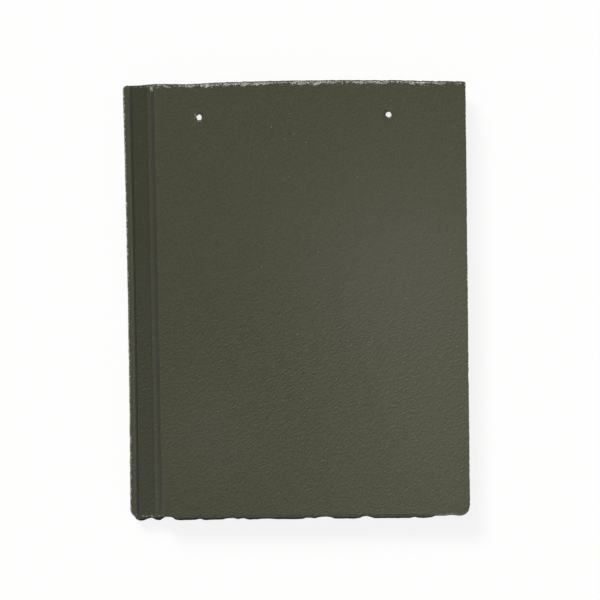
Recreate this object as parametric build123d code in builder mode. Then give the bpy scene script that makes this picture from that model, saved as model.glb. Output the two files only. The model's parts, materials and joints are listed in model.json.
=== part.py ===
from build123d import *
from math import hypot
import os

# A flat interlocking concrete roof tile, lying face up. X runs across the roof, Y runs up the slope
# from the tail to the head, and Z stands on the face. The feet of the weather bars and nibs are at Z = 0.

# Overall size
FACE_LENGTH = 420.0  # tail arris to the crown of the head, along the middle of the face
WIDTH = 330.0
DEPTH = 31.0  # face to the feet of the nibs and weather bars
BODY_THICKNESS = 14.0
BEARING_DEPTH = 22.0  # face to the plane that bears on the battens

# Ends, as the knife leaves them
HEAD_BOW = 3.4  # rise of the head's arc from its corners to its crown
HEAD_BREAK_LENGTH = 2.6  # broken arris along the head, measured on the face
HEAD_BREAK_DEPTH = 1.8  # and measured down the end
TAIL_RAKE = 7.0  # how far the foot of the tail stands out past the face's arris
TAIL_ROUND = 1.6  # rounding of the tail's arris
HEAD_LEFT_CORNER = 4.5
HEAD_RIGHT_CORNER = 1.2
TAIL_LEFT_CORNER = 7.0
TAIL_RIGHT_CORNER = 6.5

# Underlock, the low channel along the left side that the next tile covers
UNDERLOCK_WIDTH = 31.0  # tile's edge to the face's arris
OUTER_RIB_WIDTH = 5.8
OUTER_RIB_DROP = 9.5  # face to the top of the outer rib
OUTER_RIB_HEIGHT = 4.5  # top of the outer rib to the channel's floor
OUTER_RIB_SLOPE = 1.9  # run of the rib's inner wall
LEDGE_WIDTH = 3.9  # low ledge at the foot of the face's wall
LEDGE_HEIGHT = 1.3
LEDGE_SLOPE = 0.9
WALL_SLOPE = 4.4  # run of the wall between the ledge and the face
ROOT_WIDTH = 6.0  # how far the underlock's thick root goes in under the face

# Joint with the next tile
JOINT_GAP = 1.0  # open joint seen on the face between two tiles
LOCK_CLEARANCE = 1.0  # between the overlock and the neighbour's underlock
EDGE_LAND = 1.5  # upright strip below the right edge's arris

# Ribs along the underside
RIB_COUNT = 2
RIB_WIDTH = 12.0  # at the foot
RIB_DRAFT = 2.5
SIDE_RIB_WIDTH = 12.5  # rib beside the overlock
SIDE_RIB_DRAFT = 1.5

# Weather bars across the underside of the tail
BAR_COUNT = 3
BAR_WIDTH = 12.0
CHECK_WIDTH = 9.0  # mouth of the groove between two bars
CHECK_DEPTH = 6.0
CHECK_DRAFT = 1.5
BAR_END_SLOPE = 4.0  # run of the bars' sloped ends

# Hanging nibs under the head
HANG_FROM_HEAD = 20.0  # crown of the head to the nibs' hanging face
NIB_SPACING = 173.0
NIB_WIDTH = 50.0  # at the foot
NIB_THICKNESS = 11.0  # at the foot
NIB_DRAFT = 3.0

# Nail holes
HOLE_DIAMETER = 6.0
HOLE_SPACING = 182.0
HOLE_FROM_HEAD = 34.0

# Roundings of the section's corners
ARRIS_ROUND = 1.2
EDGE_ROUND = 0.8
INNER_ROUND = 1.0
RIB_ROUND = 1.5

# Room left around the tile when its ends are cut to their outlines
CUT_ROOM = 20.0

# Levels, counted up from the feet
face_z = DEPTH
body_z = face_z - BODY_THICKNESS
bearing_z = face_z - BEARING_DEPTH
rib_top_z = face_z - OUTER_RIB_DROP
floor_z = rib_top_z - OUTER_RIB_HEIGHT
ledge_z = floor_z + LEDGE_HEIGHT

# Lines along the length
overall_length = FACE_LENGTH + TAIL_RAKE
head_y = overall_length / 2
tail_y = -head_y
tail_arris_y = tail_y + TAIL_RAKE
shoulder_y = head_y - HEAD_BOW
bars_end_y = tail_y + BAR_COUNT * BAR_WIDTH + (BAR_COUNT - 1) * CHECK_WIDTH
hang_y = head_y - HANG_FROM_HEAD
nib_back_y = hang_y + NIB_THICKNESS + NIB_DRAFT
hole_y = head_y - HOLE_FROM_HEAD

# Lines across the width
left = -WIDTH / 2
right = WIDTH / 2
rib_inner_x = left + OUTER_RIB_WIDTH
floor_left_x = rib_inner_x + OUTER_RIB_SLOPE
arris_x = left + UNDERLOCK_WIDTH
wall_foot_x = arris_x - WALL_SLOPE
ledge_x = wall_foot_x - LEDGE_WIDTH
floor_right_x = ledge_x - LEDGE_SLOPE
root_x = arris_x + ROOT_WIDTH

# The overlock follows the neighbour's underlock, which lies one cover width to the right.
cover = WIDTH - UNDERLOCK_WIDTH + JOINT_GAP
plate_z = rib_top_z + LOCK_CLEARANCE
lip_z = floor_z + LOCK_CLEARANCE
lip_step_z = ledge_z + LOCK_CLEARANCE
wall_lean = WALL_SLOPE / (face_z - ledge_z)
rib_lean = OUTER_RIB_SLOPE / OUTER_RIB_HEIGHT
edge_foot_x = right - wall_lean * (face_z - lip_step_z)
lip_step_x = cover + ledge_x - LOCK_CLEARANCE
lip_right_x = lip_step_x - LEDGE_SLOPE
lip_left_x = cover + rib_inner_x + LOCK_CLEARANCE + rib_lean * (rib_top_z - lip_z)
groove_right_x = cover + rib_inner_x + LOCK_CLEARANCE - rib_lean * LOCK_CLEARANCE
groove_left_x = cover + left - LOCK_CLEARANCE
side_foot_x = groove_left_x - SIDE_RIB_DRAFT
side_inner_x = side_foot_x - SIDE_RIB_WIDTH

# Underside ribs stand evenly between the underlock's root and the side rib.
bay_left_x = root_x + RIB_DRAFT
bay_right_x = side_inner_x - RIB_DRAFT
rib_root = RIB_WIDTH + 2 * RIB_DRAFT
bay_width = (bay_right_x - bay_left_x - RIB_COUNT * rib_root) / (RIB_COUNT + 1)
rib_centres = [bay_left_x + (bay_width + rib_root) * (i + 1) - rib_root / 2 for i in range(RIB_COUNT)]

# Section across the tile, from the outer rib over the face to the overlock and back underneath.
# Each corner has its own rounding.
top_corners = [
    (left, bearing_z, RIB_ROUND),
    (left, rib_top_z, RIB_ROUND),
    (rib_inner_x, rib_top_z, RIB_ROUND),
    (floor_left_x, floor_z, INNER_ROUND),
    (floor_right_x, floor_z, 0),
    (ledge_x, ledge_z, 0),
    (wall_foot_x, ledge_z, INNER_ROUND),
    (arris_x, face_z, ARRIS_ROUND),
    (right, face_z, ARRIS_ROUND),
]
overlock_corners = [
    (right, face_z - EDGE_LAND, 0),
    (edge_foot_x, lip_step_z, EDGE_ROUND),
    (lip_step_x, lip_step_z, 0),
    (lip_right_x, lip_z, EDGE_ROUND),
    (lip_left_x, lip_z, EDGE_ROUND),
    (groove_right_x, plate_z, INNER_ROUND),
    (groove_left_x, plate_z, INNER_ROUND),
    (side_foot_x, bearing_z, EDGE_ROUND),
    (side_inner_x, bearing_z, EDGE_ROUND),
    (bay_right_x, body_z, INNER_ROUND),
]
rib_corners = []
for centre in reversed(rib_centres):
    rib_corners.append((centre + rib_root / 2, body_z, INNER_ROUND))
    rib_corners.append((centre + RIB_WIDTH / 2, bearing_z, EDGE_ROUND))
    rib_corners.append((centre - RIB_WIDTH / 2, bearing_z, EDGE_ROUND))
    rib_corners.append((centre - rib_root / 2, body_z, INNER_ROUND))
root_corners = [
    (bay_left_x, body_z, INNER_ROUND),
    (root_x, bearing_z, EDGE_ROUND),
]
corners = top_corners + overlock_corners + rib_corners + root_corners

# Outlines seen from above: the tail's with two round corners, and the head's with its arc and corners.
with BuildSketch() as tail_outline:
    with Locations((0, tail_y)):
        Rectangle(WIDTH, overall_length, align=(Align.CENTER, Align.MIN))
    tail_corners = tail_outline.vertices().group_by(Axis.Y)[0].sort_by(Axis.X)
    fillet(tail_corners[0], radius=TAIL_LEFT_CORNER)
    fillet(tail_corners[-1], radius=TAIL_RIGHT_CORNER)

with BuildSketch() as head_outline:
    with BuildLine():
        Polyline((left, shoulder_y), (left, tail_y), (right, tail_y), (right, shoulder_y))
        ThreePointArc((right, shoulder_y), (0, head_y), (left, shoulder_y))
    make_face()
    head_corners = head_outline.vertices().group_by(Axis.Y)[-1].sort_by(Axis.X)
    fillet(head_corners[0], radius=HEAD_LEFT_CORNER)
    fillet(head_corners[-1], radius=HEAD_RIGHT_CORNER)

with BuildPart() as roof_tile:
    # The section runs the whole length.
    with BuildSketch(Plane.XZ.offset(-head_y)):
        with BuildLine():
            FilletPolyline(
                [(x, z) for x, z, _ in corners],
                radius=[rounding for _, _, rounding in corners],
                close=True,
            )
        make_face()
    extrude(amount=overall_length)

    # The weather bars start as one thick nose across the tail, which stops short of the overlock.
    with BuildSketch(Plane.XZ.offset(-bars_end_y)):
        with BuildLine():
            Polyline(
                (left, bearing_z + RIB_ROUND),
                (left, bearing_z),
                (left + BAR_END_SLOPE, 0),
                (side_foot_x - BAR_END_SLOPE, 0),
                (side_foot_x, bearing_z),
                (side_foot_x, body_z),
                (root_x, body_z),
                (root_x, bearing_z + RIB_ROUND),
                close=True,
            )
        make_face()
    extrude(amount=bars_end_y - tail_y)

    # Grooves between the bars stop water that is blown up under the tail.
    for i in range(1, BAR_COUNT):
        check_y = tail_y + i * (BAR_WIDTH + CHECK_WIDTH) - CHECK_WIDTH
        with BuildSketch(Plane.YZ):
            with BuildLine():
                Polyline(
                    (check_y, 0),
                    (check_y + CHECK_DRAFT, CHECK_DEPTH),
                    (check_y + CHECK_WIDTH - CHECK_DRAFT, CHECK_DEPTH),
                    (check_y + CHECK_WIDTH, 0),
                    close=True,
                )
            make_face()
        extrude(amount=right, both=True, mode=Mode.SUBTRACT)

    # Seen from the side, the tail is raked, so that its foot stands out past the face's rounded arris.
    with BuildSketch(Plane.YZ):
        with BuildLine():
            FilletPolyline(
                [(tail_y, 0), (tail_arris_y, face_z), (head_y, face_z), (head_y, 0)],
                radius=[0, TAIL_ROUND, 0, 0],
                close=True,
            )
        make_face()
    extrude(amount=right, both=True, mode=Mode.INTERSECT)

    # Seen from above, the tail's corners are round. They follow the rake.
    with BuildSketch(Plane.XY):
        with Locations((0, tail_y)):
            Rectangle(WIDTH + 2 * CUT_ROOM, 2 * CUT_ROOM)
        add(tail_outline.sketch, mode=Mode.SUBTRACT)
    extrude(amount=hypot(TAIL_RAKE, face_z), dir=(0, TAIL_RAKE, face_z), mode=Mode.SUBTRACT)

    # The head is cut square through the depth, along a shallow arc.
    with BuildSketch(Plane.XY):
        with Locations((0, head_y)):
            Rectangle(WIDTH + 2 * CUT_ROOM, 2 * CUT_ROOM)
        add(head_outline.sketch, mode=Mode.SUBTRACT)
    extrude(amount=face_z, mode=Mode.SUBTRACT)

    # The head's arris is broken off along the same arc.
    with BuildSketch(Plane.XY.offset(face_z - HEAD_BREAK_DEPTH)):
        with BuildLine():
            ThreePointArc((right, shoulder_y), (0, head_y), (left, shoulder_y))
            Polyline(
                (left, shoulder_y),
                (left, head_y + CUT_ROOM),
                (right, head_y + CUT_ROOM),
                (right, shoulder_y),
            )
        make_face()
    extrude(
        amount=hypot(HEAD_BREAK_LENGTH, HEAD_BREAK_DEPTH),
        dir=(0, -HEAD_BREAK_LENGTH, HEAD_BREAK_DEPTH),
        mode=Mode.SUBTRACT,
    )

    # Nibs hook over the batten: square on the hanging face, and drafted on the other three sides.
    with BuildSketch(Plane.XZ.offset(-nib_back_y)):
        with GridLocations(NIB_SPACING, 0, 2, 1):
            Polygon(
                (-NIB_WIDTH / 2, 0),
                (NIB_WIDTH / 2, 0),
                (NIB_WIDTH / 2 + NIB_DRAFT, body_z),
                (-NIB_WIDTH / 2 - NIB_DRAFT, body_z),
                align=None,
            )
    extrude(amount=nib_back_y - hang_y)
    for nib_x in (-NIB_SPACING / 2, NIB_SPACING / 2):
        with BuildSketch(Plane.YZ.offset(nib_x)):
            Polygon(
                (hang_y + NIB_THICKNESS, 0),
                (nib_back_y, 0),
                (nib_back_y, body_z),
                align=None,
            )
        extrude(amount=NIB_WIDTH / 2 + NIB_DRAFT, both=True, mode=Mode.SUBTRACT)
    feet = roof_tile.faces().filter_by(Plane.XY).group_by(Axis.Z)[0]
    nib_feet = feet.filter_by_position(Axis.Y, hang_y, head_y)
    fillet(nib_feet.edges(), radius=EDGE_ROUND)

    # Nail holes go straight through the slab, one in line with each nib.
    with Locations((0, hole_y, face_z)):
        with GridLocations(HOLE_SPACING, 0, 2, 1):
            Hole(radius=HOLE_DIAMETER / 2)

roof_tile.part.label = "roof_tile"
os.makedirs("parts", exist_ok=True)
export_step(roof_tile.part, "parts/roof_tile.step")
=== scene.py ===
# %% [markdown]
# # A flat interlocking roof tile
#
# The object is one slab of concrete, extruded along its length, cut at both ends and coated olive on its
# weather side. This lesson loads the plain CAD tile as a frame and then rebuilds its surface as one closed
# mesh with the marks of its making: the broken head, the ragged foot of the tail and the rippled coat.
# All shapes are worked out in millimetres and turned to metres only when they go into Blender.

# %% Load the frame
import json
import math

import bpy
import numpy as np
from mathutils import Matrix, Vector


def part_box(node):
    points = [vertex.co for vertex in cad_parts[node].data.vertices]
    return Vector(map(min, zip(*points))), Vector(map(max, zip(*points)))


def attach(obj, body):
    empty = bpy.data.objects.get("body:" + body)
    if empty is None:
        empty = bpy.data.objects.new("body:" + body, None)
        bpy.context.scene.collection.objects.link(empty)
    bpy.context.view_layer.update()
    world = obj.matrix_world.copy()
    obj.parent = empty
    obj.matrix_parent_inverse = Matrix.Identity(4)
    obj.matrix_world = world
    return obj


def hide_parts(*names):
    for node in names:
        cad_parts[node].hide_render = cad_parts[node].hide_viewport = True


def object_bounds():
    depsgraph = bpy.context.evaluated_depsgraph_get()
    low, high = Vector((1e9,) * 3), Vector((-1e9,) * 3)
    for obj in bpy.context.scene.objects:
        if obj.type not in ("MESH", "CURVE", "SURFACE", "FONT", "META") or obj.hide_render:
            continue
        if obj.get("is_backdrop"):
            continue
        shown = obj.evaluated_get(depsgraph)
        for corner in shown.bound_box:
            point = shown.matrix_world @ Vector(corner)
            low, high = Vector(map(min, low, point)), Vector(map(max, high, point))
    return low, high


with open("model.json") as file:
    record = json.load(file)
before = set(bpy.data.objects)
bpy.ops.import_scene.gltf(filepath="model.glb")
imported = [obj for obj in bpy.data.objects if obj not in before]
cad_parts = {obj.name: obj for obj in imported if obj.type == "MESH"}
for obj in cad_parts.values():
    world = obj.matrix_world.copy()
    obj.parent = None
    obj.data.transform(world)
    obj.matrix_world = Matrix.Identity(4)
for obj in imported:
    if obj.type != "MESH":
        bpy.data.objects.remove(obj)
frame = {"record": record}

MM = 0.001
cad_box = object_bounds()
(left, tail_y, _), (right, head_y, face_z) = (np.array(corner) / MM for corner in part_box("roof_tile"))
mounts = {mount["name"]: mount for mount in frame["record"]["mounts"]}
print(f"tile is {right - left:.0f} x {head_y - tail_y:.0f} x {face_z:.0f} mm")

# %% [markdown]
# ## The section
#
# An extruded tile has one section from end to end, so the section comes first. It is given as corners
# with a rounding each: the weather side with its low channel on the left, and the underside with its ribs
# and the hooked edge on the right.

# %% Levels and corners of the section
BODY_THICKNESS, BEARING_DEPTH = 14.0, 22.0
RIB_DROP, RIB_HEIGHT, LEDGE_HEIGHT, PLATE_CLEARANCE = 9.5, 4.5, 1.3, 1.0
RIB_WIDTH, RIB_FOOT, ARRIS_FROM_LEFT, WALL_WIDTH = 6.2, 8.0, 32.7, 5.0
SIDE_RIB_FROM_RIGHT, MIDDLE_RIBS = 32.5, (-47.33, 39.33)
body_z, bearing_z = face_z - BODY_THICKNESS, face_z - BEARING_DEPTH
rib_top_z = face_z - RIB_DROP
floor_z = rib_top_z - RIB_HEIGHT
ledge_z = floor_z + LEDGE_HEIGHT
plate_z, lip_z, lip_step_z = (z + PLATE_CLEARANCE for z in (rib_top_z, floor_z, ledge_z))
rib_edge_x, rib_foot_x = left + RIB_WIDTH, left + RIB_FOOT
arris_x = left + ARRIS_FROM_LEFT
wall_foot_x = arris_x - WALL_WIDTH
side_foot_x = right - SIDE_RIB_FROM_RIGHT

# x, z and rounding of each corner, from left to right; the first and last only give a direction
weather_corners = np.array([
    (left, bearing_z, 0), (left, rib_top_z, 1.5), (rib_edge_x, rib_top_z, 0.9),
    (rib_foot_x, floor_z, 0.8), (wall_foot_x - 4.8, floor_z, 0), (wall_foot_x - 3.9, ledge_z, 0),
    (wall_foot_x, ledge_z, 1.0), (arris_x, face_z, 0.7), (right, face_z, 0), (right, bearing_z, 0),
])
rib_profile = np.array([
    (-8.5, body_z, 1.0), (-6.0, bearing_z, 0.8), (6.0, bearing_z, 0.8), (8.5, body_z, 1.0),
])
under_corners = np.concatenate([
    [(left, rib_top_z, 0), (left, bearing_z, 1.5)],
    rib_profile[2:] + (arris_x, 0, 0),
    *(rib_profile + (x, 0, 0) for x in MIDDLE_RIBS),
    [(side_foot_x - 15.0, body_z, 1.0), (side_foot_x - 12.5, bearing_z, 0.8),
     (side_foot_x, bearing_z, 0.8), (side_foot_x + 1.5, plate_z, 1.0),
     (right - 23.62, plate_z, 1.0), (right - 21.72, lip_z, 0.8), (right - 9.2, lip_z, 0.8),
     (right - 8.3, lip_step_z, 0), (right - 4.05, lip_step_z, 0.8), (right, face_z, 0)],
])
print(f"section has {len(weather_corners)} corners above and {len(under_corners)} below")

# %% [markdown]
# A Bevel modifier could round the corners later, but rounding the chain of corners here keeps the points
# in order from left to right, which the grid needs.

# %% Round the corners
def round_corners(corners, steps):
    """Points along a chain of edges with its inner corners rounded.

    A corner P of rounding r is left at r / tan(half its angle) along both edges, and the parabola that
    has P as its control point joins the two places.
    """
    points, rounding = corners[:, :2], corners[1:-1, 2]
    corner = points[1:-1]
    back, ahead = points[:-2] - corner, points[2:] - corner
    back, ahead = (way / np.linalg.norm(way, axis=1, keepdims=True) for way in (back, ahead))
    half_angle = np.arccos(np.clip((back * ahead).sum(axis=1), -1, 1)) / 2
    reach = (rounding / np.tan(half_angle))[:, None]
    start, end = corner + back * reach, corner + ahead * reach
    s = np.linspace(0, 1, steps)[:, None, None]
    curve = (1 - s) ** 2 * start + 2 * s * (1 - s) * corner + s ** 2 * end
    chain = curve.transpose(1, 0, 2).reshape(-1, 2)
    return chain[np.r_[True, np.linalg.norm(np.diff(chain, axis=0), axis=1) > 1e-6]]


weather_profile = round_corners(weather_corners, steps=4)
under_profile = round_corners(under_corners, steps=2)
print(f"rounded, it has {len(weather_profile)} points above and {len(under_profile)} below")

# %% [markdown]
# ## The grid
#
# The mesh is a tube: a ring of points round the section, repeated at rows along the length. Columns and
# rows stop at every place where the shape changes: at the nail holes, at the weather bars with the grooves
# between them, and at the nibs.

# %% Places where the shape changes
HOLE_CELLS = 8  # cells across a nail hole
HOLE_REACH, HOLE_LINE = 2.6, 1.6  # in hole radii: where bent cells are square again, and a line on the way
holes = [np.array(mounts[name]["pos_m"][:2]) / MM for name in ("nail_hole_left", "nail_hole_right")]
hole_radius = mounts["nail_hole_left"]["dims"]["r_mm"]
hole_lines = np.linspace(-hole_radius, hole_radius, HOLE_CELLS + 1)
hole_margin = hole_radius * np.array([-HOLE_REACH, -HOLE_LINE, HOLE_LINE, HOLE_REACH])

BAR_COUNT, BAR_PITCH, BAR_SLOPE = 3, 21.0, 4.0  # the slope is the run of a bar's ends
CHECK_WIDTH, CHECK_DRAFT, CHECK_DEPTH = 9.0, 1.5, 6.0  # of the grooves between the bars
bar_left_x, bar_right_x = left + BAR_SLOPE, side_foot_x - BAR_SLOPE
check_starts = tail_y + BAR_PITCH * np.arange(1, BAR_COUNT) - CHECK_WIDTH
bars_end_y = tail_y + BAR_PITCH * BAR_COUNT - CHECK_WIDTH

NIB_HALF, NIB_DRAFT, NIB_THICKNESS = 25.0, 3.0, 11.0
WALL_RUN = 0.25  # the run given to walls that stand upright
nib_centres = [mounts[name]["pos_m"][0] / MM for name in ("nib_face_left", "nib_face_right")]
nib_edges = np.array([-NIB_HALF - NIB_DRAFT, -NIB_HALF, NIB_HALF, NIB_HALF + NIB_DRAFT])
hang_y = mounts["nib_face_left"]["pos_m"][1] / MM
print(f"{len(holes)} nail holes, {BAR_COUNT} weather bars and {len(nib_centres)} nibs")

# %% [markdown]
# The other lines are spread evenly between those places. Around each nail hole they are closer, so that a
# square of cells can be turned into a round hole. The underside has half as many columns as the weather
# side, because nothing fine happens there.

# %% Lines of the grid
UNDER_STEPS, ROW_STEPS, EDGE_STEPS, WALL_STEPS = 124, 224, 8, 6
TOP_STEPS = 2 * UNDER_STEPS
END_SPACING = np.array([0, 0.4, 0.8, 1.2, 1.7, 2.3, 3.0, 3.8, 4.8, 6.2])  # rows close to the cut ends


def spread(breaks, count):
    """Lines that stop at every break, `count` steps in all. Each further step goes to the widest gap."""
    breaks = np.unique(np.round(breaks, 3))
    gaps = np.diff(breaks)
    steps = np.ones(len(gaps), int)
    while steps.sum() < count:
        steps[np.argmax(gaps / steps)] += 1
    runs = [np.linspace(a, b, n, endpoint=False) for a, b, n in zip(breaks[:-1], breaks[1:], steps)]
    return np.concatenate([*runs, breaks[-1:]])


hole_xs = np.ravel([x + np.r_[hole_lines, hole_margin] for x, _ in holes])
nib_xs = np.ravel([x + nib_edges for x in nib_centres])
wall_xs = np.linspace(wall_foot_x, arris_x, WALL_STEPS + 1)[1:-1]
top_x = spread(np.r_[weather_profile[:, 0], hole_xs, wall_xs], TOP_STEPS)
under_x = spread(np.r_[under_profile[:, 0], hole_xs, nib_xs, bar_left_x, bar_right_x], UNDER_STEPS)

check_lines = check_starts[:, None] + [0, CHECK_DRAFT, CHECK_WIDTH - CHECK_DRAFT, CHECK_WIDTH]
nib_lines = hang_y + np.array([-WALL_RUN, 0, NIB_THICKNESS, NIB_THICKNESS + NIB_DRAFT])
hole_ys = holes[0][1] + np.r_[hole_lines, hole_margin]
row_y = spread(np.r_[
    tail_y + END_SPACING, check_lines.ravel(), bars_end_y, bars_end_y + WALL_RUN,
    hole_ys, nib_lines, head_y - END_SPACING,
], ROW_STEPS)
print(f"{len(top_x)} columns above, {len(under_x)} below, {len(row_y)} rows")

# %% [markdown]
# ## Chance
#
# Broken edges and ripples need numbers that look random but are the same on every run. Value noise does
# that: seeded random heights on a lattice, blended smoothly in between. Its lattice spacing is a real
# size on the tile, in millimetres.

# %% Seeded noise
LATTICE = 512


def smooth(t):
    """0 to 1 with level ends: 3t^2 - 2t^3, with t held between 0 and 1."""
    t = np.clip(t, 0, 1)
    return t * t * (3 - 2 * t)


def noise(u, v, spacing, seed):
    """Heights from -1 to 1: seeded values on a lattice, blended both ways by the smooth step."""
    table = np.random.default_rng(seed).uniform(-1, 1, (LATTICE, LATTICE))
    u, v = np.broadcast_arrays(u / spacing, v / spacing)
    i, j = np.floor(u).astype(int), np.floor(v).astype(int)
    a, b = smooth(u - i), smooth(v - j)
    i, j, i_next, j_next = (k % LATTICE for k in (i, j, i + 1, j + 1))
    near = table[i, j] * (1 - a) + table[i_next, j] * a
    far = table[i, j_next] * (1 - a) + table[i_next, j_next] * a
    return near * (1 - b) + far * b


def raggedness(u, v, layers):
    """The sum of depth times |noise| over the layers, each given as depth, spacing and seed."""
    return sum(depth * np.abs(noise(u, v, spacing, seed)) for depth, spacing, seed in layers)


def bumps(x, places):
    """The sum of flat-topped bells h exp(-((x - p) / w)^4), each with place p, width w and height h."""
    place, width, height = np.array(places).T
    return (height * np.exp(-((x[..., None] - place) / width) ** 4)).sum(axis=-1)


print(f"noise repeats after {LATTICE} lattice steps")

# %% [markdown]
# ## The two ends
#
# The tail is cut with a rake, a little out of square, and has round corners. Its foot is ragged, because
# the wet concrete tears there, and a few of the tears also took some of the arris. The head is cut along a
# shallow arc. Both are written as how far an end lies inside the box, and the rows near an end are moved
# by that much, fading out along the tile.

# %% Outlines of the ends
TAIL_RAKE, TAIL_ROUND, HEAD_BOW = 7.0, 1.6, 3.4
TAIL_LEFT_CORNER, TAIL_RIGHT_CORNER, HEAD_LEFT_CORNER, HEAD_RIGHT_CORNER = 8.5, 10.0, 4.5, 1.2
TAIL_SKEW = 0.65  # half of the difference that the crooked cut makes between the sides
# over the channel, and this far beyond it, the head falls back less than its arc would
HEAD_REST, REST_REACH, REST_RUN = 1.0, 25.0, 30.0
# middle, half width and depth of the places that tore off the foot, the tail's arris and the head
FOOT_NOTCHES = [
    (-147, 4.6, 2.3), (-129.7, 5.4, 4.2), (-97.6, 2.5, 1.2), (-68.5, 6, 1.5), (-57, 4, 1.2), (-33, 6, 0.6),
    (7, 4, 1.3), (23.5, 9, 1.9), (64, 5.5, 1.7), (111.5, 3, 0.9), (128, 3, 0.6), (150, 5, 1.3),
]
TAIL_BITES = [(-129.7, 5, 0.3), (65, 4.5, 0.6), (147, 4.5, 0.7)]
HEAD_NICKS = [(121.7, 2.5, 0.5), (136, 3, 0.4), (-96, 14, 0.5)]
# depth, size and seed of the layers of raggedness
FOOT_RAGGED = [(0.25, 9.0, 11), (0.35, 2.4, 12)]
HEAD_RAGGED = [(0.3, 6.0, 21), (0.5, 1.8, 22)]


def corner_inset(distance, radius):
    """How far a round corner stands back at a distance from the side: r - sqrt(r^2 - (r - d)^2)."""
    short = radius - np.clip(distance, 0, radius)
    return radius - np.sqrt(radius ** 2 - short ** 2)


def tail_inset(x, z):
    """How far the tail lies inside the box: its rake, its skew, its round corners and what is bitten off.

    The rake grows with the square root of the height, because the foot spread while it was wet.
    """
    corners = corner_inset(x - left, TAIL_LEFT_CORNER) + corner_inset(right - x, TAIL_RIGHT_CORNER)
    rise = np.sqrt(np.clip(z / face_z, 0, 1))
    return (TAIL_RAKE - 2 * TAIL_SKEW * x / (right - left)) * rise + corners + bumps(x, TAIL_BITES)


def foot_inset(x):
    """How far the torn foot of the tail stands back: bells at the notches, and a fine raggedness."""
    return bumps(x, FOOT_NOTCHES) + raggedness(x, 0.0, FOOT_RAGGED)


def head_inset(x):
    """How far the head lies inside the box: a parabola for its arc, corners, nicks and raggedness."""
    corners = corner_inset(x - left, HEAD_LEFT_CORNER) + corner_inset(right - x, HEAD_RIGHT_CORNER)
    arc = HEAD_BOW * (2 * x / (right - left)) ** 2
    arc = arc - HEAD_REST * smooth((arris_x + REST_REACH - x) / REST_RUN)
    return arc + corners + raggedness(x, 0.0, HEAD_RAGGED) + bumps(x, HEAD_NICKS)


print(f"foot stands back {foot_inset(top_x).min():.1f} to {foot_inset(top_x).max():.1f} mm")

# %% [markdown]
# ## The weather side
#
# The face is a height over each point of the grid. From the section's height it loses three things: the
# tail's round arris, the broken arris of the head and the ripples of the wet coat, which are deeper in
# the lower half. Ripples this wide are real geometry, and the finer grain is left to the material.

# %% Weather side
BREAK_LENGTH, BREAK_DEPTH = 3.8, 1.7  # of the head's broken arris
BREAK_RAGGED = [(0.3, 1.3, 33)]  # depth, size and seed of its crumbs
HEAD_CHIPS = [(-48, 3, 2.6), (-120, 3, 0.8), (19, 3.2, 2.2), (-76, 5, 0.9), (62, 8, 0.7), (101, 6, 0.9)]
BREAK_STARTS_X, START_RUN, START_SHARE = -112.0, 12.0, 0.35  # left of here, only this share is broken
RIPPLE_AT_HEAD, RIPPLE_AT_TAIL = 0.03, 0.06
RIPPLE_SIZE, RIPPLE_STRETCH, RIPPLE_TURN = 3.4, 1.7, math.radians(28)
SWELL_SHARE, SWELL_SIZE = 0.6, 11.0  # wider waves under the ripples
TOP_FADE, UNDER_FADE, HEAD_FADE = 36.0, 17.0, 22.0  # how far along the tile the ends' shapes fade out

X, ROW = np.meshgrid(top_x, row_y)
from_tail, from_head = ROW - tail_y, head_y - ROW
on_face = smooth((X - arris_x + 1) / 3)

break_run = BREAK_LENGTH * (0.8 + 0.35 * noise(X, 0.0, 7.0, 31) + 0.25 * noise(X, 0.0, 2.2, 32))
started = START_SHARE + (1 - START_SHARE) * smooth((X - BREAK_STARTS_X) / START_RUN + 0.5)
in_break = np.clip(1 - from_head / ((break_run + bumps(X, HEAD_CHIPS)) * started), 0, 1) * on_face
broken = in_break * BREAK_DEPTH + (in_break > 0) * raggedness(X, ROW, BREAK_RAGGED)

along = np.cos(RIPPLE_TURN) * X + np.sin(RIPPLE_TURN) * ROW
across = np.cos(RIPPLE_TURN) * ROW - np.sin(RIPPLE_TURN) * X
ripple = noise(along / RIPPLE_STRETCH, across, RIPPLE_SIZE, 41)
ripple = ripple + SWELL_SHARE * noise(X, ROW, SWELL_SIZE, 42)
lower_half = smooth(0.6 - ROW / (head_y - tail_y))
ripple_depth = RIPPLE_AT_HEAD + (RIPPLE_AT_TAIL - RIPPLE_AT_HEAD) * lower_half
rounded = TAIL_ROUND * (1 - np.sqrt(1 - np.clip(1 - from_tail / TAIL_ROUND, 0, 1) ** 2))

Z = np.interp(X, weather_profile[:, 0], weather_profile[:, 1])
Z = Z - broken - rounded - ripple_depth * (ripple - ripple.min()) / 2
tail_shift = tail_inset(X, Z) * smooth(1 - from_tail / TOP_FADE)
head_shift = head_inset(X) * smooth(1 - from_head / HEAD_FADE)
weather = np.stack([X, ROW + tail_shift - head_shift, Z], axis=-1)
print(f"weather side lies {weather[..., 2].min():.1f} to {weather[..., 2].max():.1f} mm above the feet")

# %% [markdown]
# ## The underside
#
# The underside is also one height over each point. It starts from the section and goes down to whatever
# stands lowest there: a weather bar across the tail, with grooves between the bars that stop driven rain,
# or a nib that hooks over the batten under the head.

# %% Underside
CAST_RAGGED = [(0.12, 6.0, 51)]  # depth, size and seed of the cast surface's unevenness
FAR = 1e3  # a height that nothing reaches

UX, UROW = np.meshgrid(under_x, row_y)
section_z = np.interp(UX, under_profile[:, 0], under_profile[:, 1])

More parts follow.
